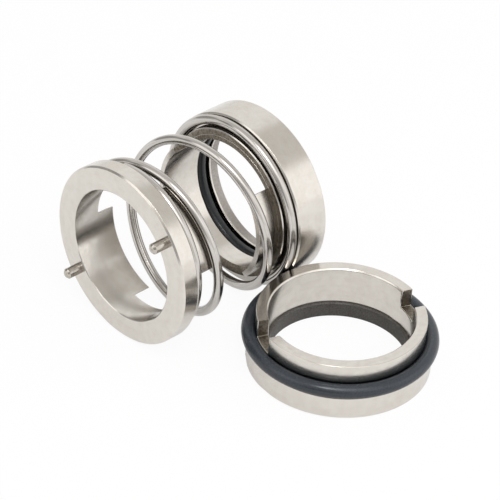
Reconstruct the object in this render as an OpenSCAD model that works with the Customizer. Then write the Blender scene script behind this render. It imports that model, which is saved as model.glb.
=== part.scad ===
// Component mechanical seal for a shaft: a spring-loaded rotary unit, which lies on its side,
// and a stationary seat, which stands on its lapped sealing face.
// Millimetres, +Z up. The origin is the centre of the seat's sealing face, and +X runs along the
// rotary unit's axis, from its drive collar to its sealing face.

/* [Shaft] */
// Diameter of the shaft that the seal fits
shaft_d = 35; // [34:0.1:36]
// Gap all round between the shaft and the bores of the collar and the holder
bore_clearance = 0.1; // [0.05:0.01:0.2]

/* [Drive collar] */
// Outer diameter of the collar's flange
collar_od = 48; // [47:0.1:50]
// Thickness of the flange
flange_t = 4.5; // [4:0.1:6]
// Wall of the sleeve behind the flange
sleeve_wall = 3.2; // [2.8:0.1:3.4]
// Length of the whole sleeve between the flange and the notches
sleeve_l = 2.9; // [2:0.1:5]
// Length of the two tongues past the notches
collar_tongue_l = 5.3; // [3:0.1:7]
// Width of each tongue, between its parallel sides
collar_tongue_w = 23; // [18:0.5:23]
// Angle of the tongues and the drive pins about the axis, from the horizontal
collar_turn = 138.5; // [120:0.5:160]
// Chamfer on the flange's outer edges
flange_chamfer = 0.45; // [0.2:0.05:0.8]
// Chamfer at the mouths of the bores and on the sleeves' ends
bore_chamfer = 0.3; // [0.1:0.05:0.5]

/* [Drive pins] */
// Diameter of a drive pin
pin_d = 2.5; // [2:0.1:2.6]
// Height that a pin stands out of the collar's face
pin_h = 4; // [3:0.1:6]
// Diameter of the spigot that holds a pin in the flange
spigot_d = 1.9; // [1.5:0.1:1.9]
// Length of the spigot
spigot_l = 3.2; // [2:0.1:3.6]
// Diameter of the circle that the pins stand on
pin_pcd = 41.2; // [40.5:0.1:42]
// Chamfer at the tip of a pin
pin_chamfer = 0.5; // [0.2:0.05:0.7]

/* [Spring] */
// Diameter of the spring's wire
wire_d = 2.8; // [2.4:0.05:2.9]
// Gap all round between the spring and the sleeve that it sits on
spring_grip = 0.1; // [0.06:0.01:0.15]
// Free length of the spring, from the collar's flange to the holder's shoulder
spring_l = 34.9; // [32:0.1:42]
// Angle through which the first coil lies flat on the flange
first_flat = 160; // [120:5:180]
// Angle through which the first coil climbs over its own end
first_climb = 200; // [180:5:240]
// Angle of the free coils
free_turn = 660; // [560:5:760]
// Angle about the axis at which the wire starts
wire_start = 80; // [0:5:355]
// How far the free coils lean along the axis
coil_lean = 1; // [0:0.1:1.4]
// How much wider the free coils stand than the end coils, at the radius
coil_swell = 0.2; // [0:0.05:0.25]

/* [Seal ring holder] */
// Outer diameter of the holder
holder_od = 48; // [47:0.1:50]
// Length of the holder's body behind its shoulder
holder_l = 8.6; // [8.2:0.1:12]
// Length of the whole nose between the shoulder and the notches
nose_l = 3.4; // [3:0.1:5]
// Length of the two tongues past the notches
holder_tongue_l = 7.8; // [5:0.1:9]
// Width of each tongue, between its parallel sides
holder_tongue_w = 26; // [22:0.5:26]
// Angle of the tongues about the axis, from the horizontal
holder_turn = 179.5; // [160:0.5:200]
// Chamfer on the holder's outer edges
holder_chamfer = 0.35; // [0.2:0.05:0.8]

/* [Shaft O-ring] */
// Thickness of the O-ring that seals on the shaft
shaft_cord_d = 3.6; // [3.2:0.1:3.7]
// How much the O-ring's inside is smaller than the shaft, at the radius
shaft_squeeze = 0.25; // [0.15:0.05:0.4]
// Distance from the shoulder to the O-ring's groove
groove_at = 1.8; // [1.4:0.1:2]
// Width of the groove
groove_w = 4.2; // [4:0.05:4.3]
// Gap between an O-ring and the floor of its groove
cord_gap = 0.05; // [0.02:0.01:0.1]

/* [Face rings] */
// Width of the rotary face ring's sealing face
rotary_face_w = 4.2; // [3.5:0.1:4.5]
// Thickness of the rotary face ring
rotary_face_t = 3.1; // [2.8:0.1:4]
// Height that the rotary face ring stands out of the holder
rotary_face_h = 1.5; // [1:0.1:1.8]
// Width of the seat face ring's sealing face
seat_face_w = 3.5; // [3:0.1:3.8]
// Thickness of the seat face ring
seat_face_t = 4.3; // [3.5:0.1:5]
// Height that the seat face ring stands out of the seat's flange
seat_face_h = 0.4; // [0.2:0.05:0.8]
// Gap all round between the shaft and the two face rings
face_clearance = 0.25; // [0.15:0.05:0.35]
// Gap all round between a face ring and the pocket that holds it
pocket_gap = 0.02; // [0.01:0.005:0.05]
// Chamfer on the edges of the face rings
face_chamfer = 0.25; // [0.1:0.05:0.3]

/* [Stationary seat] */
// Bore of the seat ring
seat_bore = 36.9; // [36.4:0.1:37.4]
// Outer diameter of the seat's neck
neck_od = 43; // [42:0.1:44]
// Outer diameter of the seat's flange
seat_flange_od = 46.3; // [46:0.1:47]
// Height of the flange's top above the sealing face
seat_flange_h = 6.2; // [6:0.1:8]
// Height of the whole seat
seat_h = 14.6; // [14:0.1:18]
// Width of the two slots in the neck's top edge
slot_w = 7; // [5:0.1:8]
// Depth of the slots
slot_h = 5; // [4.6:0.1:5.4]
// Angle of the slots about the seat's axis
slot_turn = -21.5; // [-40:0.5:0]
// Chamfer at the inner edge of the neck's top
neck_chamfer = 0.75; // [0.3:0.05:1]
// Chamfer on the seat's other edges
seat_edge = 0.3; // [0.1:0.05:0.5]
// Thickness of the seat's O-ring
seat_cord_d = 3.6; // [3.4:0.05:3.7]
// Depth of the groove that the seat's O-ring sits in
seat_groove = 0.3; // [0.3:0.05:0.4]
// Width of that groove, between the flange and the neck
seat_groove_w = 3.2; // [2.6:0.1:3.2]

/* [Arrangement] */
// Where the collar's front face stands along X
rotary_at = -35.8; // [-37:0.1:-34]
// Gap between the holder and the edge of the seat's neck that it leans on
rest_gap = 0.3; // [0.2:0.05:0.5]

/* [Hidden] */
$fn = 96;
// Room left round a cutting solid so that it passes clean through
cut = 1;

// Radii that both halves share
bore_r = shaft_d / 2 + bore_clearance;
sleeve_r = bore_r + sleeve_wall;
face_bore_r = shaft_d / 2 + face_clearance;

// Stations along the rotary unit's axis, from the collar's front face
collar_notch_at = flange_t + sleeve_l;
collar_tip_at = collar_notch_at + collar_tongue_l;
shoulder_at = flange_t + spring_l;
nose_notch_at = shoulder_at - nose_l;
nose_tip_at = nose_notch_at - holder_tongue_l;
holder_end_at = shoulder_at + holder_l;
rotary_face_at = holder_end_at + rotary_face_h;

// Depth of the countersink that a pin's shoulder sits in
pin_root = (pin_d - spigot_d) / 2;

// Where the rotary unit lies: on the rims of its flange and holder, against the seat's neck
rotary_z = max(collar_od, holder_od) / 2;
contact_x = max(0, rotary_at + shoulder_at);
neck_reach = sqrt(pow(neck_od / 2, 2) - pow(contact_x, 2));
holder_reach = sqrt(pow(holder_od / 2, 2) - pow(rotary_z - seat_h, 2));
rotary_y = neck_reach + holder_reach + rest_gap;

// Spring: the wire's centre line, as functions of the angle turned from the wire's start
coil_r = sleeve_r + spring_grip + wire_d / 2;
// Room between the wire and the faces that it is seated on
coil_seat = 0.05;
coil_first = flange_t + wire_d / 2 + coil_seat;
coil_rise = spring_l - wire_d - 2 * coil_seat;
// Climb of the first coil over its own end, with a hair between the two turns
climb = wire_d * 1.04;
climb_slope = climb / first_climb;
free_slope = (coil_rise - climb) / free_turn;
free_from = first_flat + first_climb;
free_to = free_from + free_turn;
// Half of the angle over which one slope turns into the next
soften = 24;
last_flat = 360 - climb / free_slope - 2 * soften;
wire_end = free_to + last_flat;
// Angle between two rings of the swept wire, and the ring's number of sides
ring_step = 9;
wire_sides = 12;
// The free coils lean most this far past the start of the first flat
lean_from = 140;

// Colours
STEEL = [0.80, 0.78, 0.74];
RUBBER = [0.16, 0.17, 0.18];
FACE = [0.36, 0.35, 0.34];
WIRE = [0.74, 0.73, 0.71];

// Puts a shape that is turned about +Z, with z = 0 at the collar's face, on the rotary axis
module on_rotary_axis() {
    translate([rotary_at, rotary_y, rotary_z]) rotate([90, 0, 90]) children();
}

// A turned ring from z0 to z1, with a chamfer on each outer edge and on each inner edge
module ring(r_in, r_out, z0, z1, outer_low, outer_high, inner_low, inner_high) {
    rotate_extrude()
        polygon([[r_in + inner_low, z0], [r_out - outer_low, z0], [r_out, z0 + outer_low],
                 [r_out, z1 - outer_high], [r_out - outer_high, z1], [r_in + inner_high, z1],
                 [r_in, z1 - inner_high], [r_in, z0 + inner_low]]);
}

// Two opposite tongues, left when a sleeve is milled flat along both sides
module tongues(r_in, r_out, z0, z1, width, turn) {
    intersection() {
        ring(r_in, r_out, z0, z1, 0, 0, 0, 0);
        rotate(turn)
            translate([-r_out - cut, -width / 2, z0])
                cube([2 * (r_out + cut), width, z1 - z0]);
    }
}

// An O-ring of a cord's thickness, whose inside has the radius r_in
module o_ring(r_in, cord) {
    rotate_extrude() translate([r_in + cord / 2, 0]) circle(d = cord, $fn = 32);
}

module drive_collar() {
    color(STEEL) on_rotary_axis() difference() {
        union() {
            ring(bore_r, collar_od / 2, 0, flange_t, flange_chamfer, flange_chamfer, bore_chamfer, 0);
            ring(bore_r, sleeve_r, flange_t - cut, collar_notch_at, 0, 0, 0, 0);
            tongues(bore_r, sleeve_r, collar_notch_at - cut, collar_tip_at, collar_tongue_w, collar_turn);
        }
        pin_places() translate([0, 0, -cut]) {
            cylinder(h = spigot_l + cut, d = spigot_d + 2 * pocket_gap);
            cylinder(h = pin_root + cut, d1 = pin_d + 2 * (pocket_gap + cut), d2 = spigot_d + 2 * pocket_gap);
        }
    }
}

// Places a shape at one side of the pin circle: 0 for the upper pin and 180 for the lower
module at_pin(side) {
    rotate(collar_turn + side) translate([pin_pcd / 2, 0, 0]) children();
}

module pin_places() {
    for (side = [0, 180]) at_pin(side) children();
}

// A pin stands with a bevelled shoulder in a countersink, on a thinner spigot in the flange's hole
module drive_pin(side) {
    color(STEEL) on_rotary_axis() at_pin(side) rotate_extrude($fn = 48)
        polygon([[0, spigot_l], [spigot_d / 2, spigot_l], [spigot_d / 2, pin_root], [pin_d / 2, 0],
                 [pin_d / 2, pin_chamfer - pin_h], [pin_d / 2 - pin_chamfer, -pin_h], [0, -pin_h]]);
}

module drive_pin_upper() {
    drive_pin(180);
}

module drive_pin_lower() {
    drive_pin(0);
}

// 0 before a, and u - a after it, with a round corner of half-width soften
function ramp(u, a) =
    u < a - soften ? 0 : u > a + soften ? u - a : pow(u - a + soften, 2) / (4 * soften);

// 0 on the end coils and 1 on the free coils, with smooth shoulders a quarter turn long
function smooth(t) = t * t * (3 - 2 * t);
function freedom(u) =
    smooth(max(0, min(1, (u - free_from) / 90))) * smooth(max(0, min(1, (free_to - u) / 90)));

// Height of the wire's centre line along the axis at the angle u from its start
function coil_at(u) =
    coil_first + climb_slope * ramp(u, first_flat) + (free_slope - climb_slope) * ramp(u, free_from)
    - free_slope * ramp(u, free_to) - coil_lean * cos(u - free_from - lean_from) * freedom(u);

function coil_radius(u) = coil_r + coil_swell * freedom(u);

function coil_point(u) =
    [coil_radius(u) * cos(u + wire_start), coil_radius(u) * sin(u + wire_start), coil_at(u)];

function unit(v) = v / norm(v);

// One ring of points round the wire at the angle u, square to the centre line
function wire_ring(u) =
    let (p = coil_point(u),
         along = unit(coil_point(u + 0.5) - coil_point(u - 0.5)),
         out = unit(cross(along, [0, 0, 1])),
         over = cross(out, along))
    [for (k = [0 : wire_sides - 1])
        let (a = 360 * k / wire_sides) p + wire_d / 2 * (cos(a) * out + sin(a) * over)];

module coil_spring() {
    steps = ceil(wire_end / ring_step);
    points = [for (i = [0 : steps]) each wire_ring(i * wire_end / steps)];
    sides = [for (i = [0 : steps - 1], k = [0 : wire_sides - 1])
        let (a = i * wire_sides + k, b = i * wire_sides + (k + 1) % wire_sides)
        [a, b, b + wire_sides, a + wire_sides]];
    start_cap = [[for (k = [wire_sides - 1 : -1 : 0]) k]];
    end_cap = [[for (k = [0 : wire_sides - 1]) steps * wire_sides + k]];
    color(WIRE) on_rotary_axis() polyhedron(points, concat(sides, start_cap, end_cap), convexity = 8);
}

module seal_ring_holder() {
    pocket_at = rotary_face_at - rotary_face_t;
    groove_r = shaft_d / 2 - shaft_squeeze + shaft_cord_d + cord_gap;
    color(STEEL) on_rotary_axis() difference() {
        union() {
            tongues(bore_r, sleeve_r, nose_tip_at, nose_notch_at + cut, holder_tongue_w, holder_turn);
            ring(bore_r, sleeve_r, nose_notch_at, shoulder_at + cut, 0, 0, 0, 0);
            ring(bore_r, holder_od / 2, shoulder_at, holder_end_at, holder_chamfer, holder_chamfer, 0, 0);
        }
        translate([0, 0, shoulder_at + groove_at]) cylinder(h = groove_w, r = groove_r);
        translate([0, 0, pocket_at])
            cylinder(h = holder_end_at - pocket_at + cut, r = face_bore_r + rotary_face_w + pocket_gap);
    }
}

module shaft_o_ring() {
    color(RUBBER) on_rotary_axis() translate([0, 0, shoulder_at + groove_at + groove_w / 2])
        o_ring(shaft_d / 2 - shaft_squeeze, shaft_cord_d);
}

module rotary_face_ring() {
    color(FACE) on_rotary_axis()
        ring(face_bore_r, face_bore_r + rotary_face_w, rotary_face_at - rotary_face_t, rotary_face_at,
             0, face_chamfer, face_chamfer, face_chamfer);
}

module seat_ring() {
    neck_r = neck_od / 2;
    flange_r = seat_flange_od / 2;
    groove_floor = neck_r - seat_groove;
    groove_top = seat_flange_h + seat_groove_w;
    color(STEEL) difference() {
        rotate_extrude()
            polygon([[seat_bore / 2, seat_face_h],
                     [flange_r - seat_edge, seat_face_h],
                     [flange_r, seat_face_h + seat_edge],
                     [flange_r, seat_flange_h - seat_edge],
                     [flange_r - seat_edge, seat_flange_h],
                     [groove_floor, seat_flange_h],
                     [groove_floor, groove_top],
                     [neck_r, groove_top + seat_groove],
                     [neck_r, seat_h - seat_edge],
                     [neck_r - seat_edge, seat_h],
                     [seat_bore / 2 + neck_chamfer, seat_h],
                     [seat_bore / 2, seat_h - neck_chamfer]]);
        translate([0, 0, seat_face_h - cut])
            cylinder(h = seat_face_t - seat_face_h + cut, r = face_bore_r + seat_face_w + pocket_gap);
        rotate(slot_turn) translate([-neck_r - cut, -slot_w / 2, seat_h - slot_h])
            cube([2 * (neck_r + cut), slot_w, slot_h + cut]);
    }
}

module seat_face_ring() {
    color(FACE)
        ring(face_bore_r, face_bore_r + seat_face_w, 0, seat_face_t, face_chamfer, 0, 0, face_chamfer);
}

module seat_o_ring() {
    color(RUBBER) translate([0, 0, seat_flange_h + seat_cord_d / 2])
        o_ring(neck_od / 2 - seat_groove + cord_gap, seat_cord_d);
}

drive_collar();
drive_pin_upper();
drive_pin_lower();
coil_spring();
seal_ring_holder();
shaft_o_ring();
rotary_face_ring();
seat_ring();
seat_face_ring();
seat_o_ring();
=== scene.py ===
"""A component mechanical seal for a shaft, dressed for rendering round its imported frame.

The rotary unit lies on its side and the stationary seat stands on its lapped face. Every turned, milled,
wound and moulded piece is worked out with numpy in its own turning axis, in millimetres, and placed in the
frame in metres.
"""

import logging
import math
from dataclasses import dataclass
from enum import Enum
from functools import partial

import bpy
import numpy as np
from bpy.types import ID, Material, Node, NodeSocket, NodeTree, Object
from mathutils import Matrix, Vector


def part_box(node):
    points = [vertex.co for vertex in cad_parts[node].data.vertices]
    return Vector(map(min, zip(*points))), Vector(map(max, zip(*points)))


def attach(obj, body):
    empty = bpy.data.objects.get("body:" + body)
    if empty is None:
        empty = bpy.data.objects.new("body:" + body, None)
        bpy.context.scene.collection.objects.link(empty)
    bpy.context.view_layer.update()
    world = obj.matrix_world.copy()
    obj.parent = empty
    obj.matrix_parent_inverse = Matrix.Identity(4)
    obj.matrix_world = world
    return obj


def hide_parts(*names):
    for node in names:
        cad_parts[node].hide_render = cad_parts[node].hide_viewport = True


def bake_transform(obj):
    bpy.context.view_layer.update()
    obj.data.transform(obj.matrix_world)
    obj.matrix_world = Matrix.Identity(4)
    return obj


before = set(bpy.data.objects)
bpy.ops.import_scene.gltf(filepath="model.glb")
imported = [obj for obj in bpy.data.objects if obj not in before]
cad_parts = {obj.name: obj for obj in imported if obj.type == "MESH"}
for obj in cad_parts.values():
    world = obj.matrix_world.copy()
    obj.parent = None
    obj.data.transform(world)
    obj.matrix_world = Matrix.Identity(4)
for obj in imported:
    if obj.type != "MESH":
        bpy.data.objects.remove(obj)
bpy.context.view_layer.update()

MM = 0.001
FULL_TURN = 2 * math.pi
QUARTER_TURN = math.pi / 2

# Roundings in millimetres: a ground edge, an edge broken by hand, another turned edge, an inside corner.
GROUND, EASED, TURNED, FILLET = 0.05, 0.08, 0.12, 0.2

# The part of a noise's range that is stretched to 0 to 1, for soft patterns and for crisp ones.
SOFT, CRISP = (0.3, 0.7), (0.35, 0.65)

# A place, a direction or a colour, and what a function gives back as several arrays.
Triple = tuple[float, float, float]
Arrays = tuple[np.ndarray, ...]

log = logging.getLogger("seal")


class Body(Enum):
    """The bodies of the frame that pieces ride on."""

    COLLAR = "collar"
    REST = "holder_and_seat"


class Slot(Enum):
    """The record's material slots."""

    STEEL = "turned_steel"
    WIRE = "spring_wire"
    RUBBER = "o_ring_rubber"
    FACE = "hard_face"


@dataclass(frozen=True)
class Axis:
    """A turning axis, which carries local millimetres into the frame's metres.

    The local x, y and z run along across, over and along, three unit vectors that make a right-handed set.
    """

    origin: Triple
    across: Triple
    over: Triple
    along: Triple

    def place(self, points: np.ndarray) -> np.ndarray:
        """Local points in millimetres as points of the frame in metres."""
        return np.array(self.origin) + MM * self.aim(points)

    def aim(self, directions: np.ndarray) -> np.ndarray:
        """Local directions as directions of the frame."""
        return directions @ np.array([self.across, self.over, self.along], float)


def add_object(name: str, data: ID) -> Object:
    """Adds an object to the scene.

    Args:
        name: the object's name.
        data: its mesh, lamp or camera.

    Returns:
        The new object.
    """
    made = bpy.data.objects.new(name, data)
    bpy.context.scene.collection.objects.link(made)
    return made


@dataclass
class Skin:
    """A closed surface in local millimetres.

    Each point has its outward normal, and each face the number of its material.
    """

    points: np.ndarray
    normals: np.ndarray
    faces: list[list[int]]
    materials: np.ndarray

    @classmethod
    def from_grid(cls, points: np.ndarray, normals: np.ndarray, materials: np.ndarray | None = None,
                  ring: bool = True) -> "Skin":
        """A surface from a grid of points whose columns close on themselves.

        Each cell of the grid is one quad. The rows close too where ring is true, and otherwise the first and
        the last row are capped by one flat face each. The signed volume, a sixth of the sum of each
        triangle's triple product, says whether the faces have to be turned round.

        Args:
            points: rows by columns by 3.
            normals: the outward normal at each point, of the same shape.
            materials: the material number of each cell, or None where all are the first.
            ring: whether the rows close on themselves.

        Returns:
            The surface.
        """
        rows, columns = points.shape[:2]
        i = np.arange(rows if ring else rows - 1)[:, None] + np.zeros(columns, int)
        j = np.arange(columns)[None, :] + np.zeros_like(i)
        low, high, beside = i * columns, (i + 1) % rows * columns, (j + 1) % columns
        quads = np.stack([low + j, low + beside, high + beside, high + j], -1).reshape(-1, 4)
        flat = points.reshape(-1, 3)
        a, b, c, d = (flat[quads[:, k]] for k in range(4))
        volume = (a * np.cross(b, c)).sum() + (a * np.cross(c, d)).sum()
        faces = quads.tolist()
        if not ring:
            faces.append(list(range(columns - 1, -1, -1)))
            faces.append(list(range((rows - 1) * columns, rows * columns)))
        if volume < 0:
            faces = [face[::-1] for face in faces]
        numbers = np.zeros(len(faces), np.int32)
        if materials is not None:
            numbers[:materials.size] = materials.reshape(-1)
        return cls(flat, normals.reshape(-1, 3), faces, numbers)

    def piece(self, name: str, axis: Axis, slot: Slot, finishes: list[Material], replaced: str,
              body: Body | None) -> Object:
        """Makes the surface a finished object that stands for a node of the frame.

        Args:
            name: the object's name.
            axis: where the surface lies.
            slot: the record's slot for the piece; not used.
            finishes: the materials, in the order of the faces' numbers.
            replaced: the node that the piece stands for.
            body: the body that the piece rides on, or None where it rides on none.

        Returns:
            The new object.
        """
        mesh = bpy.data.meshes.new(name)
        mesh.from_pydata(axis.place(self.points).tolist(), [], self.faces)
        for finish in finishes:
            mesh.materials.append(finish)
        mesh.polygons.foreach_set("material_index", self.materials)
        mesh.shade_smooth()
        mesh.normals_split_custom_set_from_vertices(axis.aim(self.normals).tolist())
        made = add_object(name, mesh)
        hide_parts(replaced)
        if body is not None:
            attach(made, body.value)
        log.info("%s: %d points and %d faces", name, len(self.points), len(self.faces))
        return made


def unit(vectors: np.ndarray) -> np.ndarray:
    """Vectors of length 1 in the same directions."""
    return vectors / np.linalg.norm(vectors, axis=-1, keepdims=True)


def polar(radius: np.ndarray | float, angle: np.ndarray, height: np.ndarray | float) -> np.ndarray:
    """Points at a radius, an angle in radians and a height."""
    radius, angle, height = np.broadcast_arrays(radius, angle, height)
    return np.stack([radius * np.cos(angle), radius * np.sin(angle), height], -1)


def whole_turn(count: int) -> np.ndarray:
    """Evenly spaced angles of one whole turn."""
    return np.linspace(0, FULL_TURN, count, endpoint=False)


@dataclass(frozen=True)
class Corner:
    """A corner of a turned outline, at a radius and a height, with the radius of its rounding."""

    r: float
    z: float
    rounding: float = TURNED


def rounded_outline(corners: list[Corner], closed: bool = False, steps: int = 5) -> Arrays:
    """Rounds the corners of an outline that runs with the material on its right.

    Each corner becomes an arc that touches both of its sides, at the distance rounding x tan(turn / 2) from
    the corner. The normal at each point is the side's direction turned a quarter to the left.

    Args:
        corners: the outline's corners, in order.
        closed: whether the last corner joins the first.
        steps: the number of points on each arc.

    Returns:
        The points and the normals, as two arrays of radius and height.
    """
    at = np.array([[c.r, c.z] for c in corners])
    sides = unit(np.roll(at, -1, 0) - at)
    points, normals = [], []
    for k, corner in enumerate(corners):
        into, away = sides[k - 1], sides[k]
        if not closed and k in (0, len(corners) - 1):
            side = away if k == 0 else into
            points.append(at[k][None])
            normals.append(np.array([[-side[1], side[0]]]))
            continue
        turn = math.atan2(into[0] * away[1] - into[1] * away[0], float(into @ away))
        bulge = -math.copysign(corner.rounding, turn)
        start = at[k] - corner.rounding * math.tan(abs(turn) / 2) * into
        heading = math.atan2(into[1], into[0]) + np.linspace(0, turn, steps)
        normal = np.stack([-np.sin(heading), np.cos(heading)], -1)
        points.append(start + bulge * (normal - normal[0]))
        normals.append(normal)
    return np.concatenate(points), np.concatenate(normals)


def turned(points: np.ndarray, normals: np.ndarray, angle: np.ndarray) -> Arrays:
    """An outline's points and normals carried round the axis, each at its own radius, to every angle."""
    return polar(points[:, :1], angle, points[:, 1:]), polar(normals[:, :1], angle, normals[:, 1:])


def ground_ring(outline: list[tuple[float, float]], columns: int = 480) -> Skin:
    """A closed outline with ground edges, turned about the axis.

    Args:
        outline: the radius and height of each corner.
        columns: the number of points round the axis.

    Returns:
        The closed surface.
    """
    points, normals = rounded_outline([Corner(r, z, GROUND) for r, z in outline], closed=True)
    return Skin.from_grid(*turned(points, normals, whole_turn(columns)))


def o_ring(inside: float, cord: float, middle: float, ridge: float = 0.03, width: float = 0.12,
           sides: int = 56, columns: int = 360) -> Skin:
    """A moulded ring: a circle carried round the axis, with a low ridge where the mould's halves met.

    The ridge adds to the circle's radius by ridge / (1 + (offset / width) squared), at its inside and
    outside, where offset is the height from the middle. The circle is smaller by half the ridge.

    Args:
        inside: the ring's inner radius.
        cord: the radius of its section.
        middle: the height of its middle.
        ridge: the ridge's height.
        width: half the ridge's width at half its height.
        sides: the number of points round the section.
        columns: the number of points round the axis.

    Returns:
        The closed surface.
    """
    a = whole_turn(sides)[:, None]
    angle = whole_turn(columns)
    radius = cord + ridge / (1 + (cord * np.sin(a) / width) ** 2) - ridge / 2
    points = polar(inside + cord + radius * np.cos(a), angle, middle + radius * np.sin(a))
    return Skin.from_grid(points, polar(np.cos(a), angle, np.sin(a)))


@dataclass(frozen=True)
class Crown:
    """The end of a sleeve, with two opposite tongues or slots milled across it.

    Sizes are in millimetres and angles in degrees. Each milled wall is flat: it stands half_width beside a
    line through the axis that is turned by half_angle from the crown's own line. The edge and the foot of
    each wall are rounded, and so are the sleeve's own inner and outer edges.

    Columns stand at most a step apart. Those of a wall lie above each other, so below the crown they spread
    out under the tongue, or under the land beside the slot, by the share spread of its half. Half the land
    counts for no more than widest half slots. In fan are the places of the rows on the way down.
    """

    inner: float
    outer: float
    top: float
    floor: float
    half_width: float
    turn: float
    tongues: bool
    half_angle: float = 0.0
    mouth: float = 0.0
    edge: float = 0.25
    foot: float = 0.35
    rounding: float = TURNED
    step: float = 0.75
    spread: float = 0.3
    widest: float = 4.0
    fan: tuple[float, ...] = (0.02, 0.05, 0.09, 0.125, 0.15, 0.18, 0.25, 0.4, 0.55, 0.7, 0.85)
    wall_steps: int = 6
    arc_steps: int = 5
    hair: float = 1e-6

    def bore(self, z: np.ndarray) -> np.ndarray:
        """The inner radius at a height, which widens by one for one along the mouth's chamfer."""
        return self.inner + np.maximum(0, z - (self.top - self.mouth))

    def bore_normal(self, angle: np.ndarray, z: np.ndarray) -> np.ndarray:
        """The bore's normals, which slant by half a right angle more than a hair above the mouth's foot."""
        slant = np.where(z > self.top - self.mouth + self.hair, math.sqrt(0.5), 0.0)
        return polar(-np.sqrt(1 - slant ** 2), angle, slant)

    def wall(self) -> Arrays:
        """One milled wall, across the line that the tongues lie along.

        From the top, a quarter circle turns over the edge, and below it another one turns into the floor. A
        slot's wall is a tongue's wall mirrored, so that the open side is the inner one.

        Returns:
            The distance from the middle, the height, and the normal's parts along those two, from the
            smallest distance to the largest.
        """
        a = np.linspace(0, QUARTER_TURN, self.wall_steps)
        sine, cosine = np.sin(a), np.cos(a)
        across = np.concatenate([self.half_width - self.edge * (1 - sine),
                                 self.half_width + self.foot * (1 - cosine)])
        z = np.concatenate([self.top - self.edge * (1 - cosine), self.floor + self.foot * (1 - sine)])
        n_across, n_z = np.concatenate([sine, cosine]), np.concatenate([cosine, sine])
        if self.tongues:
            return across, z, n_across, n_z
        return (2 * self.half_width - across)[::-1], z[::-1], -n_across[::-1], n_z[::-1]

    def columns(self) -> Arrays:
        """Goes round the crown: four walls, and the four spans between them.

        Returns:
            For each column, the angles of its outer and its inner edge, the two angles at which it starts
            below the crown, the height, and the normal of the crown's top. And for each gap between two
            columns, 1 where the top is milled there.
        """
        across, z, n_across, n_z = self.wall()
        turn, lean = math.radians(self.turn), math.radians(self.half_angle)
        half = lean + math.asin(self.half_width / self.outer)
        land = -half if self.tongues else min(QUARTER_TURN - half, self.widest * half)
        shift = self.spread * land * ((z - self.floor) / (self.top - self.floor))
        offsets = [lean + np.arcsin(across / radius) for radius in (self.outer, self.bore(z))]
        walls = []
        for middle, way in ((0, 1), (math.pi, -1), (math.pi, 1), (FULL_TURN, -1)):
            facing = turn + middle + way * lean
            angles = [turn + middle + way * (offset + moved) for moved in (0, shift) for offset in offsets]
            normal = [-way * math.sin(facing) * n_across, way * math.cos(facing) * n_across, n_z]
            walls.append(np.stack([*angles, z, *normal])[:, ::way])
        # The first wall comes round again with a whole turn on its four angles.
        onward = np.array([FULL_TURN] * 4 + [0.0] * 4)[:, None]
        parts, milled = [], []
        for k, (wall, following) in enumerate(zip(walls, walls[1:] + [walls[0] + onward])):
            count = math.ceil((following[0, 0] - wall[0, -1]) / math.radians(self.step)) + 1
            parts += [wall, np.linspace(wall[:, -1], following[:, 0], count + 1, axis=1)[:, 1:-1]]
            is_floor = (k % 2 == 0) == self.tongues
            milled += [1] * (len(z) - 1) + [int(is_floor)] * count
        return np.concatenate(parts, axis=1), np.array(milled)

    def skin(self, body: list[Corner]) -> Skin:
        """The whole sleeve: a turned outline below, and the milled crown above it.

        Every column of the grid runs round the section once: along the outline, up the bore, over the inner
        edge, the top and the outer edge, and down the outer cylinder.

        Args:
            body: the outline from the outer cylinder, under the crown, round to the inner one.

        Returns:
            The closed surface, with its milled faces numbered 1.
        """
        column, milled = self.columns()
        outer, inner, base_outer, base_inner, z = column[:5]
        top_normal = column[5:].T
        inner_edge = self.arc(polar(self.bore(z), inner, z), self.bore_normal(inner, z), top_normal)
        outer_edge = self.arc(polar(self.outer, outer, z), top_normal, polar(1.0, outer, 0.0))

        points, normals = rounded_outline(body)
        share = np.linspace(0, 1, len(points))[:, None]
        below = turned(points, normals, base_outer + share * (base_inner - base_outer))

        angle, height = self.fan_out(inner_edge[0][0], base_inner, body[-1].z)
        bore = polar(self.bore(height), angle, height)[::-1], self.bore_normal(angle, height)[::-1]
        angle, height = self.fan_out(outer_edge[0][-1], base_outer, body[0].z)
        flank = polar(self.outer, angle, height), polar(1.0, angle, 0.0)

        points, normals = (np.concatenate(rows) for rows in zip(below, bore, inner_edge, outer_edge, flank))
        materials = np.zeros(points.shape[:2], np.int32)
        # The milled faces take the second finish, whose dark colour is partly painted shade.
        materials[len(below[0]) + len(self.fan) + self.arc_steps - 1] = milled
        return Skin.from_grid(points, normals, materials)

    def fan_out(self, edge: np.ndarray, base: np.ndarray, base_z: float) -> Arrays:
        """The rows between a rounded edge and the outline below, along straight lines of angle and height.

        Args:
            edge: the edge's points on its cylinder.
            base: the angle at which each column meets the outline.
            base_z: the outline's height.

        Returns:
            The angles and the heights, each rows by columns.
        """
        start = np.unwrap(np.arctan2(edge[:, 1], edge[:, 0]))
        start += FULL_TURN * np.round((base - start) / FULL_TURN)
        share = np.array(self.fan)[:, None]
        return start + share * (base - start), edge[:, 2] + share * (base_z - edge[:, 2])

    def arc(self, corners: np.ndarray, first: np.ndarray, last: np.ndarray) -> Arrays:
        """Rounds an edge between two surfaces whose normals are first and last.

        The arc's centre lies rounding x (first + last) / (1 + first . last) behind the edge, and the normal
        turns evenly from one to the other.

        Args:
            corners: the sharp edge's points.
            first: the normals of the surface that the arc starts on.
            last: the normals of the surface that it ends on.

        Returns:
            The points and normals, each arc_steps by columns by 3.
        """
        along = (first * last).sum(-1, keepdims=True)
        centre = corners - self.rounding * (first + last) / (1 + along)
        whole = np.arccos(np.clip(along, -1, 1))
        t = np.linspace(0, 1, self.arc_steps)[:, None, None]
        normal = (np.sin((1 - t) * whole) * first + np.sin(t * whole) * last) / np.sin(whole)
        return centre + self.rounding * normal, normal


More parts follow.
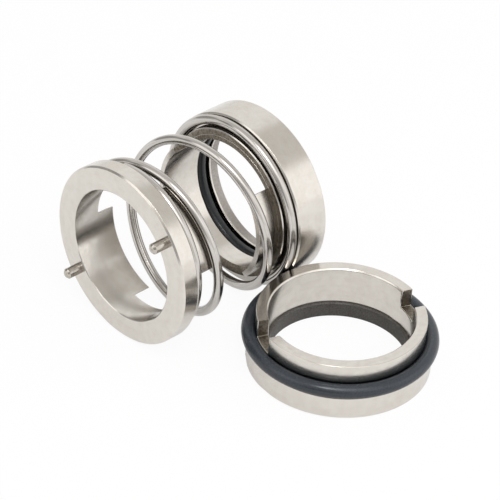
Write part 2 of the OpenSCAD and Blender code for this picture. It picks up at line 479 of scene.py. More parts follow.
class Graph:
    """Builds a node tree with short calls."""

    def __init__(self, tree: NodeTree) -> None:
        """Takes the tree to build in, emptied."""
        self.tree = tree
        tree.nodes.clear()

    def feed(self, node: Node, inputs: dict[str | int, object]) -> None:
        """Gives a node its inputs.

        Args:
            node: the node.
            inputs: a value or an output socket for each input, by name or number.
        """
        for name, value in inputs.items():
            if isinstance(value, NodeSocket):
                self.tree.links.new(value, node.inputs[name])
            else:
                node.inputs[name].default_value = value

    def node(self, kind: str, inputs: dict[str | int, object] | None = None, **settings: object) -> Node:
        """Adds a node.

        Args:
            kind: the node's type.
            inputs: what feed takes.
            settings: the node's own properties.

        Returns:
            The node.
        """
        made = self.tree.nodes.new(kind)
        for name, value in settings.items():
            setattr(made, name, value)
        self.feed(made, inputs or {})
        return made

    def math(self, operation: str, a: object, b: object, c: object = 0.0) -> NodeSocket:
        """A sum, product or other function of two or three numbers."""
        return self.node("ShaderNodeMath", {0: a, 1: b, 2: c}, operation=operation).outputs[0]

    def vector(self, operation: str, inputs: dict[str | int, object], out: str = "Vector") -> NodeSocket:
        """A function of vectors."""
        return self.node("ShaderNodeVectorMath", inputs, operation=operation).outputs[out]

    def noise(self, inputs: dict[str, object], **settings: object) -> NodeSocket:
        """A noise, from 0 to 1."""
        return self.node("ShaderNodeTexNoise", inputs, **settings).outputs[0]

    def span(self, value: object, low: float, high: float, to_low: float = 0.0,
             to_high: float = 1.0) -> NodeSocket:
        """A value carried from one range to another, clamped and with soft ends."""
        return self.node("ShaderNodeMapRange", {0: value, 1: low, 2: high, 3: to_low, 4: to_high},
                         interpolation_type="SMOOTHSTEP").outputs[0]

    def mix(self, share: object, a: object, b: object) -> NodeSocket:
        """A colour between a and b."""
        return self.node("ShaderNodeMix", {0: share, 6: a, 7: b}, data_type="RGBA").outputs[2]

    def position(self) -> NodeSocket:
        """Where a point of the piece lies, in metres."""
        return self.node("ShaderNodeTexCoord").outputs["Object"]


def colour(r: float, g: float, b: float) -> tuple[float, float, float, float]:
    """A colour socket's value."""
    return (r, g, b, 1.0)


def grey(tone: float) -> tuple[float, float, float, float]:
    """A grey as a colour socket's value."""
    return colour(tone, tone, tone)


def new_material(name: str) -> tuple[Material, Graph]:
    """Starts a material.

    Args:
        name: the material's name.

    Returns:
        The material and its empty graph.
    """
    material = bpy.data.materials.new(name)
    material.use_nodes = True
    return material, Graph(material.node_tree)


def new_group(name: str, inputs: dict[str, object],
              outputs: tuple[str, ...]) -> tuple[Graph, dict[str, NodeSocket], Node]:
    """Starts a shader node group that puts out values.

    Args:
        name: the group's name.
        inputs: each input's default, a number or a vector.
        outputs: the names of the outputs.

    Returns:
        The group's graph, its inputs by name, and its output node.
    """
    tree = bpy.data.node_groups.new(name, "ShaderNodeTree")
    graph = Graph(tree)
    for label, default in inputs.items():
        kind = "NodeSocketFloat" if isinstance(default, float) else "NodeSocketVector"
        tree.interface.new_socket(label, in_out="INPUT", socket_type=kind).default_value = default
    for label in outputs:
        tree.interface.new_socket(label, in_out="OUTPUT", socket_type="NodeSocketFloat")
    given = graph.node("NodeGroupInput")
    return graph, {label: given.outputs[label] for label in inputs}, graph.node("NodeGroupOutput")


def lathe_marks(broad: float = 0.16, cloud: float = 420.0) -> NodeTree:
    """The group that draws what a lathe leaves.

    The way along the tool's path is the height along the axis plus the distance from it, so that marks run
    round both on cylinders and on flat faces. Noise over that way and the direction from the axis gives long
    marks, and a slower one gives broad bands. Blotch is a plain noise, for the steel's faint clouds.

    Args:
        broad: the number of bands to one fine mark.
        cloud: the number of clouds to a metre.

    Returns:
        The group.
    """
    inputs = {"Position": (0, 0, 0), "Centre": (0, 0, 0), "Axis": (0, 0, 1), "Pitch": 6.0, "Reach": 0.9}
    graph, given, out = new_group("lathe_marks", inputs, ("Height", "Streak", "Blotch"))
    rel = graph.vector("SUBTRACT", {0: given["Position"], 1: given["Centre"]})
    height = graph.vector("DOT_PRODUCT", {0: rel, 1: given["Axis"]}, "Value")
    upright = graph.vector("SCALE", {0: given["Axis"], "Scale": height})
    flat = graph.vector("SUBTRACT", {0: rel, 1: upright})
    radius = graph.vector("LENGTH", {0: flat}, "Value")
    way = graph.math("MULTIPLY", graph.math("ADD", height, radius), 1 / MM)
    aim = graph.vector("SCALE", {0: graph.vector("NORMALIZE", {0: flat}), "Scale": given["Reach"]})

    def marks(pitch: object, detail: float) -> NodeSocket:
        """Noise along the way, at a number of marks per millimetre."""
        place = {"Vector": aim, "W": graph.math("MULTIPLY", way, pitch), "Scale": 1.0, "Detail": detail}
        return graph.noise(place, noise_dimensions="4D")

    fine = marks(given["Pitch"], 2.0)
    bands = marks(graph.math("MULTIPLY", given["Pitch"], broad), 1.0)
    blotch = graph.noise({"Vector": rel, "Scale": cloud, "Detail": 4.0, "Roughness": 0.6})
    graph.feed(out, {"Height": fine, "Streak": graph.span(bands, *SOFT),
                     "Blotch": graph.span(blotch, *SOFT)})
    return graph.tree


def speckle() -> NodeTree:
    """The group that draws a grainy surface, with fine grains from one noise and soft clouds from another.

    Returns:
        The group.
    """
    graph, given, out = new_group("speckle", {"Position": (0, 0, 0), "Grain": 3000.0, "Cloud": 120.0},
                                  ("Grain", "Cloud"))
    grain, cloud = ({"Vector": given["Position"], "Scale": given[name], "Detail": 3.0}
                    for name in ("Grain", "Cloud"))
    graph.feed(out, {"Grain": graph.span(graph.noise(grain | {"Roughness": 0.7}), *CRISP),
                     "Cloud": graph.span(graph.noise(cloud), *SOFT)})
    return graph.tree


@dataclass(frozen=True, kw_only=True)
class Finish:
    """What every finish has, and how its material is put together.

    The surface varies between two colours and between two roughnesses, and its bump has a strength and a
    depth in millimetres.
    """

    name: str
    light: Triple
    dark: Triple
    smooth: float
    rough: float
    strength: float
    depth: float
    metallic: float = 1.0

    def pattern(self, graph: Graph) -> tuple[NodeSocket, ...]:
        """The finish's tone and haze, each from 0 to 1, and its height."""
        raise NotImplementedError

    def build(self) -> Material:
        """Makes the material: the tone sets the colour, the haze the roughness and the height the bump.

        Returns:
            The material.
        """
        material, graph = new_material(self.name)
        tone, haze, height = self.pattern(graph)
        bump = {"Height": height, "Strength": self.strength, "Distance": self.depth * MM}
        shader = graph.node("ShaderNodeBsdfPrincipled", {
            "Base Color": graph.mix(tone, colour(*self.light), colour(*self.dark)),
            "Roughness": graph.span(haze, 0.0, 1.0, self.smooth, self.rough),
            "Metallic": self.metallic,
            "Normal": graph.node("ShaderNodeBump", bump).outputs[0]})
        graph.node("ShaderNodeOutputMaterial", {"Surface": shader.outputs[0]})
        return material


@dataclass(frozen=True, kw_only=True)
class TurnedSteel(Finish):
    """Stainless steel off the lathe, with its marks round the axis."""

    marks: NodeTree
    axis: Axis
    pitch: float = 5.0
    strength: float = 0.5
    depth: float = 0.0006
    least_streak: float = 0.5

    def pattern(self, graph: Graph) -> tuple[NodeSocket, ...]:
        """Clouds whose tone the broad bands weaken, and the fine marks as the height.

        Args:
            graph: the material's graph.

        Returns:
            The tone, the haze and the height.
        """
        inputs = {"Position": graph.position(), "Centre": self.axis.origin, "Axis": self.axis.along,
                  "Pitch": self.pitch}
        marks = graph.node("ShaderNodeGroup", inputs, node_tree=self.marks).outputs
        streaks = graph.math("MULTIPLY_ADD", marks["Streak"], 1 - self.least_streak, self.least_streak)
        return graph.math("MULTIPLY", streaks, marks["Blotch"]), marks["Blotch"], marks["Height"]


@dataclass(frozen=True, kw_only=True)
class GrainySurface(Finish):
    """A surface with a fine grain: milled or ground steel, moulded rubber or a ground hard face."""

    grains: NodeTree
    grain: float
    strength: float = 0.6

    def pattern(self, graph: Graph) -> tuple[NodeSocket, ...]:
        """The grains as the tone and the height, and the clouds as the haze.

        Args:
            graph: the material's graph.

        Returns:
            The tone, the haze and the height.
        """
        inputs = {"Position": graph.position(), "Grain": self.grain}
        group = graph.node("ShaderNodeGroup", inputs, node_tree=self.grains).outputs
        return group["Grain"], group["Cloud"], group["Grain"]


@dataclass(frozen=True, kw_only=True)
class DrawnWire(Finish):
    """Bright drawn wire, with faint marks along its length from the piece's own map."""

    strength: float = 0.4
    depth: float = 0.003
    stretch: Triple = (0.12, 60.0, 1.0)

    def pattern(self, graph: Graph) -> tuple[NodeSocket, ...]:
        """Long lines of noise along the wire, for the tone, the haze and the height.

        Args:
            graph: the material's graph.

        Returns:
            The tone, the haze and the height.
        """
        along = graph.node("ShaderNodeUVMap", uv_map="wire").outputs[0]
        mapped = graph.node("ShaderNodeMapping", {"Vector": along, "Scale": self.stretch}).outputs[0]
        drawn = graph.noise({"Vector": mapped, "Scale": 1.0, "Detail": 2.0})
        lines = graph.span(drawn, *SOFT)
        return lines, lines, drawn


@dataclass(frozen=True)
class Finishes:
    """All the finishes of the seal."""

    rotary_steel: Material
    holder_steel: Material
    seat_steel: Material
    milled: Material
    pin_steel: Material
    wire: Material
    shaft_rubber_shaded: Material
    seat_rubber: Material
    rotary_face: Material
    seat_face: Material

    @classmethod
    def make(cls, rotary: Axis, holder: Axis, seat: Axis) -> "Finishes":
        """Builds every material once.

        Args:
            rotary: the collar's axis.
            holder: the holder's axis.
            seat: the seat's axis.

        Returns:
            The materials.
        """
        steel = partial(TurnedSteel, light=(0.757, 0.718, 0.663), dark=(0.7, 0.655, 0.595),
                        smooth=0.18, rough=0.22, marks=lathe_marks())
        grainy = partial(GrainySurface, grains=speckle())
        rubber = partial(grainy, grain=2200.0, depth=0.003, metallic=0.0)
        made = {
            "rotary_steel": steel(name="collar_steel", axis=rotary),
            "holder_steel": steel(name="holder_steel", axis=holder),
            "seat_steel": steel(name="seat_steel", axis=seat),
            # The milled finish is rougher and grainier, like milled steel, and its dark brown colour is
            # painted shade: the notch floors and the holder's step lie in shade inside the coils, and the
            # seat's slots in shade too.
            "milled": grainy(name="milled_steel_painted_shade", light=(0.36, 0.32, 0.265), dark=(0.18, 0.155, 0.125),
                             smooth=0.4, rough=0.6, grain=1800.0, depth=0.02),
            "pin_steel": grainy(name="pin_steel", light=(0.62, 0.58, 0.53), dark=(0.5, 0.46, 0.41),
                                smooth=0.15, rough=0.25, grain=1600.0, depth=0.002),
            "wire": DrawnWire(name="drawn_wire", light=(0.71, 0.68, 0.645), dark=(0.52, 0.49, 0.455),
                              smooth=0.1, rough=0.2),
            # The shaft's rubber is darker than the seat's: partly painted shade of the bore it sits in.
            "shaft_rubber_shaded": rubber(name="shaft_rubber_shaded", light=(0.012, 0.014, 0.016),
                                   dark=(0.02, 0.022, 0.025), smooth=0.3, rough=0.42),
            "seat_rubber": rubber(name="seat_rubber", light=(0.042, 0.05, 0.061),
                                  dark=(0.03, 0.036, 0.045), smooth=0.17, rough=0.28),
            "rotary_face": grainy(name="lapped_face", light=(0.46, 0.43, 0.4), dark=(0.36, 0.33, 0.3),
                                  smooth=0.32, rough=0.45, grain=2600.0, depth=0.006),
            "seat_face": grainy(name="hard_face", light=(0.125, 0.117, 0.108), dark=(0.06, 0.054, 0.048),
                                smooth=0.45, rough=0.65, grain=2600.0, depth=0.012, metallic=0.0),
        }
        return cls(**{use: finish.build() for use, finish in made.items()})


@dataclass(frozen=True)
class DrivePin:
    """A drive pin, from a cone that sinks into the collar's front face to a bevelled tip with a dimple."""

    radius: float = 1.4
    height: float = 4.0
    bevel: float = 0.5
    shoulder: float = 0.02
    root: float = 0.95
    root_depth: float = 0.28
    dimple: float = 0.24
    dimple_floor: float = 0.12
    dimple_depth: float = 0.1
    circle: float = 20.6

    def skin(self, turn: float, columns: int = 72) -> Skin:
        """The pin's outline turned about its own axis, which stands on the circle of the pins.

        Args:
            turn: where the pin stands on that circle, in degrees.
            columns: the number of points round the pin.

        Returns:
            The closed surface.
        """
        tip = -self.height
        corners = [Corner(self.root, self.root_depth), Corner(self.radius, -self.shoulder),
                   Corner(self.radius, tip + self.bevel, EASED),
                   Corner(self.radius - self.bevel, tip, EASED), Corner(self.dimple, tip, GROUND),
                   Corner(self.dimple_floor, tip + self.dimple_depth)]
        points, normals = turned(*rounded_outline(corners), whole_turn(columns))
        return Skin.from_grid(points + polar(self.circle, math.radians(turn), 0.0), normals, ring=False)


@dataclass(frozen=True)
class Collar:
    """The drive collar, a flange with a tongued sleeve, and its two drive pins.

    The crown's columns start root above the flange outside, and hem below the notches' floor in the bore.
    """

    axis: Axis
    pin: DrivePin = DrivePin()
    bore: float = 17.6
    flange: float = 24.0
    thickness: float = 4.9
    sleeve: float = 20.4
    notch_at: float = 7.8
    tip_at: float = 12.8
    half_tongue: float = 11.5
    turn: float = 139.5
    pin_turn: float = 141.0
    chamfer: float = 0.45
    mouth: float = 0.2
    root: float = 0.25
    hem: float = 0.4

    def ring(self) -> Skin:
        """The flange and its sleeve.

        Returns:
            The closed surface.
        """
        rim, shoulder = self.flange - self.chamfer, self.thickness - self.chamfer
        outline = [Corner(self.sleeve, self.thickness + self.root),
                   Corner(self.sleeve, self.thickness, FILLET), Corner(rim, self.thickness),
                   Corner(self.flange, shoulder), Corner(self.flange, self.chamfer), Corner(rim, 0),
                   Corner(self.bore + self.mouth, 0, EASED), Corner(self.bore, self.mouth, EASED),
                   Corner(self.bore, self.notch_at - self.hem)]
        return Crown(self.bore, self.sleeve, self.tip_at, self.notch_at, self.half_tongue, self.turn,
                     tongues=True).skin(outline)

    def build(self, finishes: Finishes) -> None:
        """Makes the collar and its pins. The pins' nodes have swapped names: the upper one is the lower pin.

        Args:
            finishes: the materials.
        """
        self.ring().piece("collar", self.axis, Slot.STEEL, [finishes.rotary_steel, finishes.milled],
                          "drive_collar", Body.COLLAR)
        for side, name, node in ((180, "far_pin", "drive_pin_upper"), (0, "near_pin", "drive_pin_lower")):
            pin = self.pin.skin(self.pin_turn + side)
            pin.piece(name, self.axis, Slot.STEEL, [finishes.pin_steel], node, Body.COLLAR)


@dataclass(frozen=True)
class Holder:
    """The seal ring holder, its O-ring and its face ring, from the sealing end back to the tongues.

    The crown's columns start root above the nose's step outside, and hem below the notches' floor in the
    bore.
    """

    axis: Axis
    bore: float = 17.6
    body: float = 24.0
    end: float = -0.7
    length: float = 8.9
    nose: float = 20.7
    nose_edge: float = 0.25
    tongue: float = 19.0
    tongue_edge: float = 0.15
    tongue_rounding: float = 0.06
    notch_at: float = 11.5
    tip_at: float = 18.0
    half_tongue: float = 41.0
    turn: float = 180.0
    step: float = 0.08
    step_fillet: float = 0.03
    root: float = 0.04
    hem: float = 0.4
    chamfer: float = 0.35
    groove: float = 20.9
    groove_from: float = 1.7
    groove_to: float = 5.9
    pocket: float = 21.97
    pocket_depth: float = 1.1
    cord: float = 1.8
    cord_inside: float = 17.25
    cord_gap: float = 0.05
    face_bore: float = 17.75
    face_rim: float = 21.95
    face_height: float = 1.5
    face_chamfer: float = 0.25

    def ring(self, level: float = 0.01) -> Skin:
        """The holder, with its pocket, its groove and its tongued nose, whose step takes the milled finish
        too, as painted shade of the coil.

        Args:
            level: the most that a point of the step lies above or below it.

        Returns:
            The closed surface.
        """
        step = self.notch_at - self.step
        rim = self.body - self.chamfer
        outline = [Corner(self.tongue, step + self.root), Corner(self.tongue, step, self.step_fillet),
                   Corner(self.nose - self.nose_edge, step, GROUND),
                   Corner(self.nose, step - self.nose_edge, GROUND), Corner(self.nose, self.length, FILLET),
                   Corner(rim, self.length), Corner(self.body, self.length - self.chamfer),
                   Corner(self.body, self.end + self.chamfer), Corner(rim, self.end),
                   Corner(self.pocket, self.end), Corner(self.pocket, self.pocket_depth),
                   Corner(self.bore, self.pocket_depth), Corner(self.bore, self.groove_from),
                   Corner(self.groove, self.groove_from), Corner(self.groove, self.groove_to),
                   Corner(self.bore, self.groove_to), Corner(self.bore, self.notch_at - self.hem)]
        skin = Crown(self.bore, self.tongue, self.tip_at, self.notch_at, 0.0, self.turn, tongues=True,
                     half_angle=self.half_tongue, edge=self.tongue_edge, foot=FILLET,
                     rounding=self.tongue_rounding).skin(outline)
        x, y, z = skin.points.T
        # The turned step lies in the coil's shade: the dark milled finish given to it here is painted shade.
        flat = (abs(z - step) < level) & (np.hypot(x, y) > self.tongue)
        skin.materials[flat[np.array(skin.faces)].all(1)] = 1
        return skin

    def face(self) -> Skin:
        """The rotary face ring, whose sealing face looks out of the holder.

        Returns:
            The closed surface.
        """
        out, back, chamfer = -self.face_height, self.pocket_depth, self.face_chamfer
        return ground_ring([(self.face_bore, back), (self.face_rim, back), (self.face_rim, out + chamfer),
                            (self.face_rim - chamfer, out), (self.face_bore + chamfer, out),
                            (self.face_bore, out + chamfer)])

    def build(self, finishes: Finishes) -> None:
        """Makes the holder, its O-ring and its face ring.

        Args:
            finishes: the materials.
        """
        self.ring().piece("holder", self.axis, Slot.STEEL, [finishes.holder_steel, finishes.milled],
                          "seal_ring_holder", Body.REST)
        # The shaft O-ring takes the darker rubber, partly painted shade of the bore.
        seal = o_ring(self.cord_inside, self.cord, self.groove_to - self.cord_gap - self.cord)
        seal.piece("holder_o_ring", self.axis, Slot.RUBBER, [finishes.shaft_rubber_shaded], "shaft_o_ring",
                   Body.REST)
        self.face().piece("holder_face", self.axis, Slot.FACE, [finishes.rotary_face], "rotary_face_ring",
                          Body.REST)


@dataclass(frozen=True)
class Seat:
    """The stationary seat: its slotted ring, its hard face and its O-ring.

    The crown's columns start hem below the slots' floor in the bore.
    """

    axis: Axis
    bore: float = 18.45
    neck: float = 21.5
    neck_rounding: float = 0.22
    flange: float = 23.5
    flange_top: float = 6.5
    height: float = 14.6
    floor: float = 9.6
    half_slot: float = 3.5
    slot_edge: float = 0.12
    turn: float = -21.5
    mouth: float = 0.35
    edge: float = 0.2
    top_edge: float = 0.35
    stand: float = 0.2
    groove_depth: float = 0.3
    groove_top: float = 9.15
    groove_rounding: float = 0.1
    hem: float = 0.2
    pocket: float = 21.27
    pocket_top: float = 4.1
    cord: float = 1.85
    cord_inside: float = 21.25
    face_bore: float = 17.75
    face_rim: float = 21.25
    face_chamfer: float = 0.25

    def ring(self) -> Skin:
        """The flange and the slotted neck.

        Returns:
            The closed surface.
        """
        groove = self.neck - self.groove_depth
        outline = [Corner(self.neck, self.groove_top + self.groove_depth),
                   Corner(groove, self.groove_top, self.groove_rounding),
                   Corner(groove, self.flange_top, FILLET),
                   Corner(self.flange - self.top_edge, self.flange_top, EASED),
                   Corner(self.flange, self.flange_top - self.top_edge, EASED),
                   Corner(self.flange, self.stand + self.edge), Corner(self.flange - self.edge, self.stand),
                   Corner(self.pocket, self.stand), Corner(self.pocket, self.pocket_top),
                   Corner(self.bore, self.pocket_top), Corner(self.bore, self.floor - self.hem)]
        return Crown(self.bore, self.neck, self.height, self.floor, self.half_slot, self.turn, tongues=False,
                     mouth=self.mouth, edge=self.slot_edge, foot=FILLET,
                     rounding=self.neck_rounding).skin(outline)

    def face(self) -> Skin:
        """The hard face ring, which the seat stands on.

        Returns:
            The closed surface.
        """
        top, chamfer = self.pocket_top, self.face_chamfer
        return ground_ring([(self.face_bore, top - chamfer), (self.face_bore + chamfer, top),
                            (self.face_rim, top), (self.face_rim, chamfer), (self.face_rim - chamfer, 0),
                            (self.face_bore, 0)])

    def build(self, finishes: Finishes) -> None:
        """Makes the seat's three pieces.

        Args:
            finishes: the materials.
        """
        self.ring().piece("seat", self.axis, Slot.STEEL, [finishes.seat_steel, finishes.milled], "seat_ring",
                          Body.REST)
        self.face().piece("seat_face", self.axis, Slot.FACE, [finishes.seat_face], "seat_face_ring",
                          Body.REST)
        seal = o_ring(self.cord_inside, self.cord, self.flange_top + self.cord)
        seal.piece("seat_ring_seal", self.axis, Slot.RUBBER, [finishes.seat_rubber], "seat_o_ring",
                   Body.REST)


@dataclass(frozen=True)
class Spring:
    """The coil spring, one round wire with a closed coil at each end.

    Sizes are in millimetres, and turns in degrees of the angle from the wire's start. The centre line climbs
    over its own end, runs free at an even slope with a slight lean, and lies flat again. Each bend between
    two slopes is spread over soften to either side, and the coil at the holder swells. In travel are the
    turns where stretches meet, each with the share of the collar's travel that the wire makes there.
    """

    axis: Axis
    wire: float = 1.25
    radius: float = 21.75
    start_turn: float = 74.0
    first_height: float = 6.2
    rise: float = 31.6
    climb: float = 2.6
    first_flat: float = 160.0
    first_climb: float = 200.0
    free_turn: float = 615.0
    soften: float = 24.0
    lean: float = 0.5
    lean_from: float = 81.0
    swell: float = 0.85
    blunt: float = 0.25
    blunt_steps: int = 4
    travel: tuple[tuple[float, float], ...] = ((370, 1.0), (550, 0.703), (730, 0.405), (905, 0.1),
                                               (1005, 0.0))

    @property
    def free_from(self) -> float:
        """Where the free coils start."""
        return self.first_flat + self.first_climb

    @property
    def free_to(self) -> float:
        """Where the free coils end."""
        return self.free_from + self.free_turn

    @property
    def slope(self) -> float:
        """The climb of the free coils in a degree."""
        return (self.rise - self.climb) / self.free_turn

    @property
    def end(self) -> float:
        """Where the wire ends."""
        return self.free_to + 360 - self.climb / self.slope - 2 * self.soften

    def ramp(self, u: np.ndarray, start: float) -> np.ndarray:
        """0 before start and u - start after it, joined by a piece of parabola."""
        bend = (u - start + self.soften) ** 2 / (4 * self.soften)
        return np.where(u < start - self.soften, 0, np.where(u > start + self.soften, u - start, bend))

    @staticmethod
    def quarter(u: np.ndarray, start: float) -> np.ndarray:
        """0 to 1 over the quarter turn from start, along 3 t squared - 2 t cubed."""
        t = np.clip((u - start) / 90, 0, 1)
        return t * t * (3 - 2 * t)

    def line(self, u: np.ndarray) -> np.ndarray:
        """The wire's centre line: a circle whose height is the sum of the ramps and the lean.

        Args:
            u: the turns to find it at.

        Returns:
            The points.
        """
        first = self.climb / self.first_climb
        late = self.quarter(u, self.free_to - 90)
        freedom = self.quarter(u, self.free_from) * (1 - late)
        lean = self.lean * np.cos(np.radians(u - self.free_from - self.lean_from)) * freedom
        height = (self.first_height + first * self.ramp(u, self.first_flat)
                  + (self.slope - first) * self.ramp(u, self.free_from)
                  - self.slope * self.ramp(u, self.free_to) - lean)
        return polar(self.radius + self.swell * late, np.radians(u + self.start_turn), height)

    def tube(self, begin: float, end: float, sides: int = 24, step: float = 3.0,
             nudge: float = 0.25) -> tuple[Skin, np.ndarray]:
        """The stretch of wire between two turns: a circle carried square to the centre line.

        A real end of the wire is rounded by a quarter circle, and other ends are cut flat.

        Args:
            begin: the turn at which the stretch begins.
            end: the turn at which it ends.
            sides: the points round the wire.
            step: the turn between two circles.
            nudge: how far to either side the centre line's direction is taken.

        Returns:
            The closed surface, and for each point its place along and round the wire.
        """
        u = np.linspace(begin, end, math.ceil((end - begin) / step) + 1)
        thin = np.full_like(u, self.wire)
        per_turn = math.radians(1) * self.radius
        a = np.linspace(0, QUARTER_TURN, self.blunt_steps + 1)[:-1]
        bevel = self.wire - self.blunt * (1 - np.sin(a))
        inset = self.blunt * (1 - np.cos(a)) / per_turn
        if begin <= 0:
            u = np.concatenate([inset, u[1:]])
            thin = np.concatenate([bevel, thin[1:]])
        if end >= self.end:
            u = np.concatenate([u[:-1], self.end - inset[::-1]])
            thin = np.concatenate([thin[:-1], bevel[::-1]])
        ahead = unit(self.line(u + nudge) - self.line(u - nudge))
        out = unit(np.cross(ahead, np.array([0, 0, 1.0])))
        over = np.cross(out, ahead)
        angle = whole_turn(sides)[None, :, None]
        normals = np.cos(angle) * out[:, None] + np.sin(angle) * over[:, None]
        points = self.line(u)[:, None] + thin[:, None, None] * normals
        place = np.stack(np.broadcast_arrays((u * per_turn)[:, None], angle[..., 0] / FULL_TURN), -1)
        return Skin.from_grid(points, normals, ring=False), place.reshape(-1, 2)

    def stretch(self, name: str, begin: float, end: float, finish: Material,
                body: Body | None = None) -> Object:
        """Makes one stretch of the wire, with its own map along the wire.

        Args:
            name: the stretch's name.
            begin: the turn at which it begins.
            end: the turn at which it ends.
            finish: the wire's material.
            body: the body that it rides on, or None where it rides on none.

        Returns:
            The new object.
        """
        skin, place = self.tube(begin, end)
        made = skin.piece(name, self.axis, Slot.WIRE, [finish], "coil_spring", body)
        corner = np.zeros(len(made.data.loops), np.int32)
        made.data.loops.foreach_get("vertex_index", corner)
        made.data.uv_layers.new(name="wire").data.foreach_set("uv", place[corner].astype(np.float32).ravel())
        return made

    def build(self, finishes: Finishes) -> None:
        """Makes the wire in stretches: the first rides on the collar, the last on the holder and the seat,
        and those between are baked in place where they lie.

        For each stretch between, where a blend along the chord between its ends would start and finish is
        worked out but not used. A blend's weight is smooth(t) = 3 t squared - 2 t cubed, so the places where
        the weight is right at both of a stretch's ends come from the inverse, t = 1/2 - sin(asin(1 - 2 w) /
        3). A stretch is half a turn at most.

        Args:
            finishes: the materials.
        """
        self.stretch("spring_collar_end", 0, self.travel[0][0], finishes.wire, Body.COLLAR)
        for k, ((begin, w_begin), (end, w_end)) in enumerate(zip(self.travel, self.travel[1:])):
            made = self.stretch(f"spring_coil_{k + 1}", begin, end, finishes.wire)
            ends = self.line(np.array([begin, end], float)) * [1, 1, 0]
            t_begin, t_end = (0.5 - math.sin(math.asin(1 - 2 * w) / 3) for w in (w_begin, w_end))
            chord = (ends[0] - ends[1]) / (t_begin - t_end)
            start = self.axis.place(ends[0] - t_begin * chord)
            finish = self.axis.place(ends[0] + (1 - t_begin) * chord)
            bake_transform(made)
        self.stretch("spring_holder_end", self.travel[-1][0], self.end, finishes.wire, Body.REST)


def stance(axes: list[np.ndarray], place: np.ndarray) -> Matrix:
    """The matrix of an object that is turned and placed.

    Args:
        axes: the directions of the object's own x, y and z.
        place: where its origin stands.

    Returns:
        The matrix.
    """
    matrix = np.eye(4)
    matrix[:3, :3] = np.stack(axes, 1)
    matrix[:3, 3] = place
    return Matrix(matrix)


@dataclass(frozen=True)
class Card:
    """A soft round patch of the studio, light or dark, that gloss sees. All angles are in degrees."""

    azimuth: float
    elevation: float
    spread: float
    soft: float
    tone: float

    def aim(self) -> Triple:
        """The direction of the card's middle."""
        a, e = math.radians(self.azimuth), math.radians(self.elevation)
        return (math.cos(a) * math.cos(e), math.sin(a) * math.cos(e), math.sin(e))


@dataclass(frozen=True)
class Lamp:
    """A square lamp that is turned towards the seal, and that gloss doesn't see."""

    name: str
    place: Triple
    size: float
    power: float

    def hang(self) -> None:
        """Makes the lamp, with one side square to its aim and to a line near the frame's y axis."""
        data = bpy.data.lights.new(self.name, "AREA")
        data.size, data.energy = self.size, self.power
        aim = unit(np.array(self.place))
        near_y = np.array([0.0, 1.0, 0.01])
        side = unit(np.cross(near_y, aim))
        made = add_object(self.name, data)
        made.matrix_world = stance([side, np.cross(aim, side), aim], self.place)
        made.visible_glossy = False


class Rays:
    """What the floor and the sky ask about the ray that meets them."""

    def __init__(self, graph: Graph) -> None:
        """Adds the questions to a graph."""
        self.graph = graph
        self.path = graph.node("ShaderNodeLightPath").outputs
        self.gloss = graph.math("MAXIMUM", self.path["Is Glossy Ray"], self.path["Is Transmission Ray"])

    def deep(self, first: float, third: float) -> NodeSocket:
        """A value that goes from first to third with the count of reflections, which darkens crevices."""
        return self.graph.span(self.path["Glossy Depth"], 1, 3, first, third)


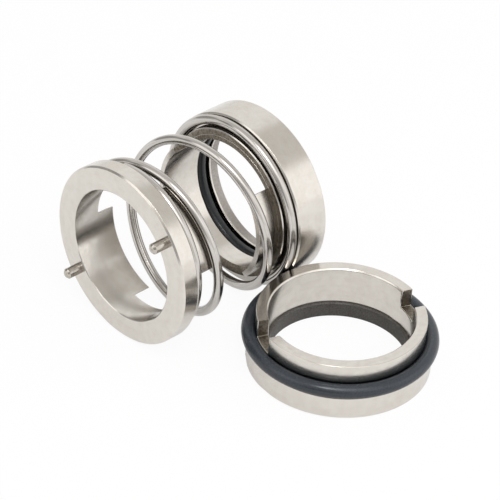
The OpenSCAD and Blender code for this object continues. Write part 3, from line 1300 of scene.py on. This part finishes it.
@dataclass(frozen=True)
class Studio:
    """The floor, the lamps, the sky and the camera.

    Angles are in degrees, places in metres, and the lens and the sensor in millimetres. Each pair of numbers
    is for the first and the third reflection.
    """

    azimuth: float = 45.39
    elevation: float = 36.06
    roll: float = -3.61
    distance: float = 0.58537
    right: float = 0.02224
    down: float = 0.02751
    lens: float = 166.44
    sensor: float = 36.0
    near: float = 0.01
    reach: float = 3.0
    glow_to_eye: float = 0.93
    glow_to_gloss: tuple[float, float] = (0.35, 0.05)
    floor_tone: tuple[float, float] = (0.95, 0.15)
    floor_bounce: float = 0.2
    sky_low: Triple = (0.88, 0.87, 0.85)
    sky_high: Triple = (0.68, 0.67, 0.65)
    sky_from: float = 0.3
    sky_to: float = 0.8
    sky_depth: tuple[float, float] = (1.0, 0.25)
    sky_light: float = 0.6
    cards: tuple[Card, ...] = (Card(102, 8, 13, 13, 0.38), Card(130, 28, 8, 11, 0.3),
                               Card(-150, 5, 16, 16, 0.42), Card(-55, 18, 15, 14, 1.2),
                               Card(-92, 42, 9, 14, 1.3), Card(158, 38, 12, 12, 1.4),
                               Card(42, 36, 12, 10, 0.94), Card(-125, 66, 17, 10, 1.7),
                               Card(-148, 66, 5, 6, 8.0))
    lamps: tuple[Lamp, ...] = (Lamp("key", (-0.35, -0.5, 0.95), 0.8, 6.0),
                               Lamp("fill", (0.7, -0.6, 0.5), 0.7, 2.5))

    def camera(self) -> None:
        """Places the camera on the photograph's line of sight.

        The line of sight and the level right and the steep down of the picture come from azimuth and
        elevation, and the roll turns the last two in the picture's plane. The picture's centre is right and
        down of the frame's origin.
        """
        a, e, roll = (math.radians(v) for v in (self.azimuth, self.elevation, self.roll))
        level = np.array([math.cos(a), -math.sin(a), 0])
        ahead = np.array([math.sin(a), math.cos(a), 0])
        up = np.array([0, 0, 1.0])
        sight = math.cos(e) * ahead - math.sin(e) * up
        steep = -math.sin(e) * ahead - math.cos(e) * up
        right = math.cos(roll) * level + math.sin(roll) * steep
        down = -math.sin(roll) * level + math.cos(roll) * steep
        place = -self.right * right - self.down * down - self.distance * sight
        data = bpy.data.cameras.new("camera")
        data.lens, data.sensor_width, data.clip_start = self.lens, self.sensor, self.near
        made = add_object("camera", data)
        made.matrix_world = stance([right, -down, -sight], place)
        bpy.context.scene.camera = made

    def floor(self) -> None:
        """Lays the white floor.

        It glows nearly white to the eye and less to gloss, and keeps a soft shadow. It is darker where it is
        seen through many reflections, and throws little light back on the seal.
        """
        r = self.reach
        mesh = bpy.data.meshes.new("floor")
        mesh.from_pydata([(-r, -r, 0), (r, -r, 0), (r, r, 0), (-r, r, 0)], [], [(0, 1, 2, 3)])
        material, graph = new_material("white_floor")
        rays = Rays(graph)
        seen = graph.math("MAXIMUM", graph.math("MULTIPLY", rays.path["Is Camera Ray"], self.glow_to_eye),
                          graph.math("MULTIPLY", rays.gloss, rays.deep(*self.glow_to_gloss)))
        tone = graph.math("MULTIPLY", rays.deep(*self.floor_tone),
                          graph.span(rays.path["Is Diffuse Ray"], 0, 1, 1.0, self.floor_bounce))
        glow = graph.node("ShaderNodeEmission", {"Color": grey(1.0), "Strength": 1.0})
        dull = graph.node("ShaderNodeBsdfDiffuse", {"Color": tone})
        mixed = graph.node("ShaderNodeMixShader", {0: seen, 1: dull.outputs[0], 2: glow.outputs[0]})
        graph.node("ShaderNodeOutputMaterial", {"Surface": mixed.outputs[0]})
        mesh.materials.append(material)
        made = add_object("floor", mesh)

    def sky(self) -> None:
        """Makes a white surround to the eye, and an even light to what isn't glossy.

        Gloss sees a soft studio with light and dark cards, which turns from its low to its high colour
        between two heights, and which gets darker with the count of reflections.
        """
        world = bpy.data.worlds.new("studio")
        world.use_nodes = True
        bpy.context.scene.world = world
        graph = Graph(world.node_tree)
        rays = Rays(graph)
        aim = graph.node("ShaderNodeTexCoord").outputs["Generated"]
        height = graph.node("ShaderNodeSeparateXYZ", {0: aim}).outputs["Z"]
        gloss = graph.mix(graph.span(height, self.sky_from, self.sky_to), colour(*self.sky_low),
                          colour(*self.sky_high))
        for card in self.cards:
            facing = graph.vector("DOT_PRODUCT", {0: aim, 1: card.aim()}, "Value")
            rim, core = (math.cos(math.radians(angle)) for angle in (card.spread + card.soft, card.spread))
            gloss = graph.mix(graph.span(facing, rim, core), gloss, grey(card.tone))
        gloss = graph.vector("SCALE", {0: gloss, "Scale": rays.deep(*self.sky_depth)})
        eye = rays.path["Is Camera Ray"]
        seen = graph.mix(eye, gloss, grey(1.0))
        light = graph.mix(graph.math("MAXIMUM", eye, rays.gloss), grey(self.sky_light), seen)
        back = graph.node("ShaderNodeBackground", {"Color": light, "Strength": 1.0})
        graph.node("ShaderNodeOutputWorld", {"Surface": back.outputs[0]})

    def build(self) -> None:
        """Sets the studio up."""
        self.camera()
        self.floor()
        self.sky()
        for lamp in self.lamps:
            lamp.hang()


def main() -> None:
    """Builds the seal and its studio."""
    logging.basicConfig(level=logging.INFO, format="%(name)s: %(message)s")
    bpy.context.scene.view_settings.view_transform = "Standard"
    low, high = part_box("drive_collar")
    middle = ((low.y + high.y) / 2, (low.z + high.z) / 2)
    rotary = Axis((low.x, *middle), (0, 1, 0), (0, 0, 1), (1, 0, 0))
    holder_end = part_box("seal_ring_holder")[1].x
    holder = Axis((holder_end, *middle), (0, 1, 0), (0, 0, -1), (-1, 0, 0))
    seat = Axis((0, 0, 0), (1, 0, 0), (0, 1, 0), (0, 0, 1))
    Studio().build()
    finishes = Finishes.make(rotary, holder, seat)
    for part in (Collar(rotary), Spring(rotary), Holder(holder), Seat(seat)):
        part.build(finishes)


if __name__ == "__main__":
    main()
